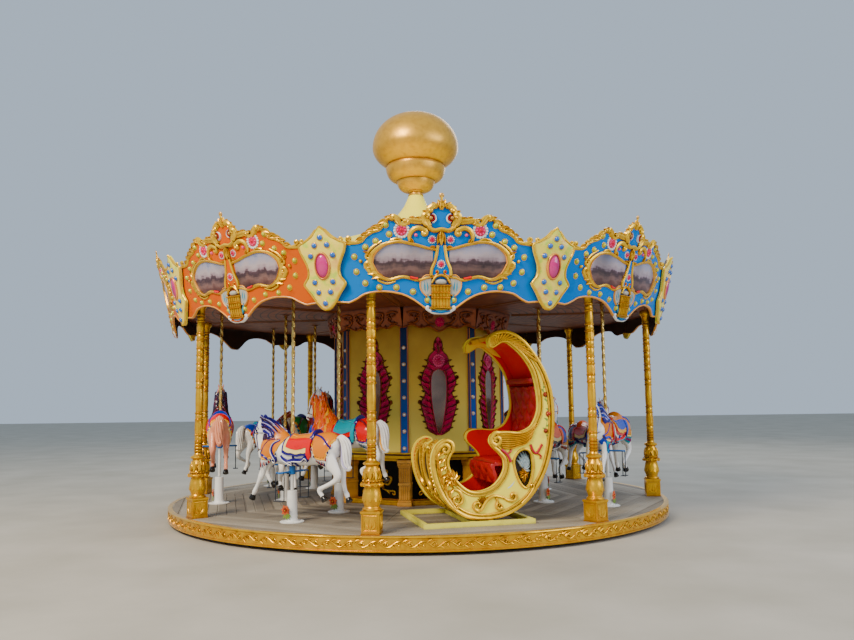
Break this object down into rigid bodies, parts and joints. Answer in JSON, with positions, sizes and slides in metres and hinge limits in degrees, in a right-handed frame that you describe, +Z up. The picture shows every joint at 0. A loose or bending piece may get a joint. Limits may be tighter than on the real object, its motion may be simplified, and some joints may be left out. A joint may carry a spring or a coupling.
{
  "type": "merry-go-round with galloping horses and a chariot",
  "caption": "Small fairground merry-go-round: turning platform, gilded columns, painted cornice, onion finial, rising horses and a crescent chariot.",
  "frame": {"origin": "on the ground, on the axis that the platform turns about", "axes": "+Z up along the turning axis; -Y is the side seen from the front, between two columns beside the chariot; +X to the right seen from there"},
  "size_m": [7.4419, 7.4624, 5.981],
  "materials": {
    "base_steel": "dark painted steel",
    "deck_planks": "weathered grey-brown boards",
    "gilt_paint": "gold paint on cast and moulded ornament",
    "panel_blue": "glossy painted glass-fibre moulding",
    "panel_orange": "glossy painted glass-fibre moulding",
    "shield_cream": "glossy painted glass-fibre moulding",
    "ceiling_lining": "dark stained boards",
    "roof_cream": "pale yellow glass-fibre shell",
    "finial_gold": "satin gold paint",
    "housing_bronze": "old-gold painted mouldings",
    "housing_olive": "olive-yellow painted panels",
    "frame_yellow": "pale yellow painted steel tube",
    "chariot_cream": "pale yellow glass-fibre moulding",
    "chariot_gold": "gold-painted glass-fibre shell",
    "red_upholstery": "tufted red leathercloth",
    "horse_white": "glossy white painted glass fibre",
    "horse_tan": "glossy tinted painted glass fibre"
  },
  "bodies": {
    "base": {"base_frame": "base_steel"},
    "platform": {"rim_fascia": "gilt_paint", "ceiling": "ceiling_lining", "roof": "roof_cream", "finial": "finial_gold", "housing_lower": "housing_bronze", "housing_upper": "housing_olive", "chariot_frame": "frame_yellow", "chariot_outer_side": "chariot_cream", "chariot_inner_side": "chariot_cream", "chariot_shell": "chariot_gold", "chariot_seat": "red_upholstery", "deck_sector_1": "deck_planks", "column_1": "gilt_paint", "deck_sector_2": "deck_planks", "column_2": "gilt_paint", "deck_sector_3": "deck_planks", "column_3": "gilt_paint", "deck_sector_4": "deck_planks", "column_4": "gilt_paint", "deck_sector_5": "deck_planks", "column_5": "gilt_paint", "deck_sector_6": "deck_planks", "column_6": "gilt_paint", "deck_sector_7": "deck_planks", "column_7": "gilt_paint", "deck_sector_8": "deck_planks", "column_8": "gilt_paint", "cornice_panel_1": "panel_blue", "cornice_shield_1": "shield_cream", "cornice_panel_2": "panel_blue", "cornice_shield_2": "shield_cream", "cornice_panel_3": "panel_orange", "cornice_shield_3": "shield_cream", "cornice_panel_4": "panel_orange", "cornice_shield_4": "shield_cream", "cornice_panel_5": "panel_blue", "cornice_shield_5": "shield_cream", "cornice_panel_6": "panel_blue", "cornice_shield_6": "shield_cream", "cornice_panel_7": "panel_blue", "cornice_shield_7": "shield_cream", "cornice_panel_8": "panel_orange", "cornice_shield_8": "shield_cream", "cornice_panel_9": "panel_orange", "cornice_shield_9": "shield_cream"},
    "horse_outer_1": {"horse_outer_1": "horse_white"},
    "horse_inner_1": {"horse_inner_1": "horse_white"},
    "horse_outer_3": {"horse_outer_3": "horse_white"},
    "horse_inner_3": {"horse_inner_3": "horse_white"},
    "horse_outer_4": {"horse_outer_4": "horse_white"},
    "horse_inner_4": {"horse_inner_4": "horse_white"},
    "horse_outer_5": {"horse_outer_5": "horse_white"},
    "horse_inner_5": {"horse_inner_5": "horse_tan"},
    "horse_outer_6": {"horse_outer_6": "horse_tan"},
    "horse_inner_6": {"horse_inner_6": "horse_white"},
    "horse_outer_7": {"horse_outer_7": "horse_white"},
    "horse_inner_7": {"horse_inner_7": "horse_tan"},
    "horse_outer_8": {"horse_outer_8": "horse_tan"},
    "horse_inner_8": {"horse_inner_8": "horse_white"}
  },
  "joints": [
    {"name": "platform_spin", "type": "hinge", "parent": "base", "child": "platform", "pos_m": [0, 0, 0.14], "axis": [0, 0, 1], "continuous": true},
    {"name": "horse_outer_1_lift", "type": "slide", "parent": "platform", "child": "horse_outer_1", "axis": [0, 0, 1], "range_m": [-0.08, 0.22]},
    {"name": "horse_inner_1_lift", "type": "slide", "parent": "platform", "child": "horse_inner_1", "axis": [0, 0, 1], "range_m": [-0.22, 0.08]},
    {"name": "horse_outer_3_lift", "type": "slide", "parent": "platform", "child": "horse_outer_3", "axis": [0, 0, 1], "range_m": [-0.21, 0.09]},
    {"name": "horse_inner_3_lift", "type": "slide", "parent": "platform", "child": "horse_inner_3", "axis": [0, 0, 1], "range_m": [-0.09, 0.21]},
    {"name": "horse_outer_4_lift", "type": "slide", "parent": "platform", "child": "horse_outer_4", "axis": [0, 0, 1], "range_m": [-0.04, 0.26]},
    {"name": "horse_inner_4_lift", "type": "slide", "parent": "platform", "child": "horse_inner_4", "axis": [0, 0, 1], "range_m": [-0.26, 0.04]},
    {"name": "horse_outer_5_lift", "type": "slide", "parent": "platform", "child": "horse_outer_5", "axis": [0, 0, 1], "range_m": [-0.18, 0.12]},
    {"name": "horse_inner_5_lift", "type": "slide", "parent": "platform", "child": "horse_inner_5", "axis": [0, 0, 1], "range_m": [-0.12, 0.18]},
    {"name": "horse_outer_6_lift", "type": "slide", "parent": "platform", "child": "horse_outer_6", "axis": [0, 0, 1], "range_m": [-0.27, 0.03]},
    {"name": "horse_inner_6_lift", "type": "slide", "parent": "platform", "child": "horse_inner_6", "axis": [0, 0, 1], "range_m": [-0.03, 0.27]},
    {"name": "horse_outer_7_lift", "type": "slide", "parent": "platform", "child": "horse_outer_7", "axis": [0, 0, 1], "range_m": [-0.09, 0.21]},
    {"name": "horse_inner_7_lift", "type": "slide", "parent": "platform", "child": "horse_inner_7", "axis": [0, 0, 1], "range_m": [-0.21, 0.09]},
    {"name": "horse_outer_8_lift", "type": "slide", "parent": "platform", "child": "horse_outer_8", "axis": [0, 0, 1], "range_m": [-0.29, 0.01]},
    {"name": "horse_inner_8_lift", "type": "slide", "parent": "platform", "child": "horse_inner_8", "axis": [0, 0, 1], "range_m": [-0.01, 0.29]}
  ],
  "couplings": [
    {"joint": "horse_inner_1_lift", "follows": "horse_outer_1_lift", "ratio": -1},
    {"joint": "horse_inner_3_lift", "follows": "horse_outer_3_lift", "ratio": -1},
    {"joint": "horse_inner_4_lift", "follows": "horse_outer_4_lift", "ratio": -1},
    {"joint": "horse_inner_5_lift", "follows": "horse_outer_5_lift", "ratio": -1},
    {"joint": "horse_inner_6_lift", "follows": "horse_outer_6_lift", "ratio": -1},
    {"joint": "horse_inner_7_lift", "follows": "horse_outer_7_lift", "ratio": -1},
    {"joint": "horse_inner_8_lift", "follows": "horse_outer_8_lift", "ratio": -1}
  ]
}
